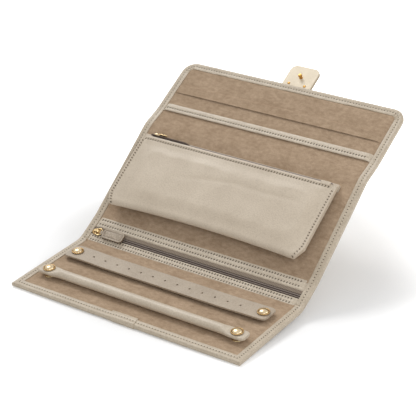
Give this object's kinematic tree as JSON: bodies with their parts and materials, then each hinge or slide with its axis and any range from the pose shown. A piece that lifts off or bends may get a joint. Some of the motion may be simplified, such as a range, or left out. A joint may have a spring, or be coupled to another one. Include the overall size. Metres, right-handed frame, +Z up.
{
  "type": "jewelry roll",
  "caption": "Folding leather jewelry roll lying open: press-stud ring bar and earring strap, zipped spine pocket, zipped pouch, slip-pocket flap and a peg clasp.",
  "frame": {"origin": "on the floor under the middle of the whole roll as it lies open with its back half raised", "axes": "+X across the roll to its right side as seen from the front edge, +Y from the front edge towards the raised flap, +Z up"},
  "size_m": [0.24, 0.2944, 0.1423],
  "materials": {
    "grain_leather": "pebbled, satin",
    "strap_leather": "pebbled, satin",
    "pouch_leather": "fine grain, satin",
    "suede_lining": "napped, matt",
    "stiffener_board": "raw",
    "zip_tape": "woven",
    "zip_teeth": "moulded nylon",
    "gold_metal": "polished plating",
    "pale_gold_metal": "satin plating"
  },
  "bodies": {
    "front_panel": {"front_cover": "grain_leather", "front_board": "stiffener_board", "front_suede": "suede_lining", "front_edge_binding": "grain_leather", "front_left_binding": "grain_leather", "front_right_binding": "grain_leather", "strap_stud_left": "gold_metal", "strap_stud_right": "gold_metal", "bar_stud_left": "gold_metal", "bar_stud_right": "gold_metal", "strap_snap_left": "gold_metal", "bar_snap_left": "gold_metal", "earring_strap_fastened_end": "strap_leather", "ring_bar_fastened_end": "strap_leather", "clasp_socket": "gold_metal"},
    "earring_strap": {"earring_strap": "strap_leather", "strap_snap_right": "gold_metal"},
    "ring_bar": {"ring_bar": "strap_leather", "bar_snap_right": "gold_metal"},
    "zip_spine": {"zip_spine_cover": "grain_leather", "zip_spine_left_binding": "grain_leather", "zip_spine_right_binding": "grain_leather", "zip_lower_strip": "grain_leather", "zip_upper_strip": "grain_leather", "zip_lower_tape": "zip_tape", "zip_upper_tape": "zip_tape", "zip_pocket_bag": "suede_lining", "zip_lower_teeth": "zip_teeth", "zip_upper_teeth": "zip_teeth"},
    "zip_slider": {"zip_slider": "gold_metal"},
    "zip_pull_ring": {"zip_pull_ring": "gold_metal"},
    "zip_pull_tab": {"zip_pull_tab": "grain_leather"},
    "back_panel": {"back_cover": "grain_leather", "back_board": "stiffener_board", "back_suede": "suede_lining", "back_left_binding": "grain_leather", "back_right_binding": "grain_leather", "pouch_hinge_strip": "pouch_leather"},
    "pouch": {"pouch_back": "pouch_leather", "pouch_front": "pouch_leather", "pouch_inner_teeth": "zip_teeth", "pouch_outer_teeth": "zip_teeth"},
    "pouch_slider": {"pouch_slider": "gold_metal"},
    "pouch_zip_tag": {"pouch_zip_tag": "gold_metal"},
    "upper_spine": {"upper_spine_cover": "grain_leather", "upper_spine_suede": "suede_lining", "upper_spine_left_binding": "grain_leather", "upper_spine_right_binding": "grain_leather"},
    "flap": {"flap_cover": "grain_leather", "flap_board": "stiffener_board", "flap_suede": "suede_lining", "flap_end_binding": "grain_leather", "flap_left_binding": "grain_leather", "flap_right_binding": "grain_leather", "flap_lower_pocket": "suede_lining", "flap_upper_pocket": "suede_lining", "flap_pocket_hem": "suede_lining", "flap_band": "grain_leather", "clasp_plate": "pale_gold_metal", "clasp_peg": "gold_metal"}
  },
  "joints": [
    {"name": "front_fold", "type": "hinge", "parent": "front_panel", "child": "zip_spine", "pos_m": [0, -0.05283, 0.00978], "axis": [1, 0, 0], "range_deg": [-29, 68.6]},
    {"name": "back_fold", "type": "hinge", "parent": "zip_spine", "child": "back_panel", "pos_m": [0, -0.02922, 0.02483], "axis": [1, 0, 0], "range_deg": [-7.5, 82.5]},
    {"name": "upper_fold", "type": "hinge", "parent": "back_panel", "child": "upper_spine", "pos_m": [0, 0.04967, 0.09105], "axis": [1, 0, 0], "range_deg": [-13.5, 106.5]},
    {"name": "flap_fold", "type": "hinge", "parent": "upper_spine", "child": "flap", "pos_m": [0, 0.06801, 0.09903], "axis": [1, 0, 0], "range_deg": [-8.5, 73.9]},
    {"name": "earring_strap_lift", "type": "hinge", "parent": "front_panel", "child": "earring_strap", "pos_m": [-0.0928, -0.08027, 0.01281], "axis": [0, 0.9981, 0.0612], "range_deg": [-60, 0]},
    {"name": "ring_bar_lift", "type": "hinge", "parent": "front_panel", "child": "ring_bar", "pos_m": [-0.0928, -0.11961, 0.0123], "axis": [0, 0.9981, 0.0612], "range_deg": [-60, 0]},
    {"name": "zip_slide", "type": "slide", "parent": "zip_spine", "child": "zip_slider", "axis": [1, 0, 0], "range_m": [0, 0.2134]},
    {"name": "zip_ring_turn", "type": "hinge", "parent": "zip_slider", "child": "zip_pull_ring", "pos_m": [-0.1067, -0.04472, 0.01732], "axis": [0, 0.8433, 0.5375], "range_deg": [-110, 0]},
    {"name": "zip_tab_turn", "type": "hinge", "parent": "zip_pull_ring", "child": "zip_pull_tab", "pos_m": [-0.0999, -0.04472, 0.01732], "axis": [0, 0.8433, 0.5375], "range_deg": [-70, 0]},
    {"name": "pouch_lift", "type": "hinge", "parent": "back_panel", "child": "pouch", "pos_m": [0, 0.03955, 0.08367], "axis": [1, 0, 0], "range_deg": [-85, 3]},
    {"name": "pouch_zip_slide", "type": "slide", "parent": "pouch", "child": "pouch_slider", "axis": [1, 0, 0], "range_m": [0, 0.184]},
    {"name": "pouch_tag_turn", "type": "hinge", "parent": "pouch_slider", "child": "pouch_zip_tag", "pos_m": [-0.097, 0.03644, 0.08475], "axis": [0, 0.811, 0.5851], "range_deg": [-150, 0]}
  ]
}
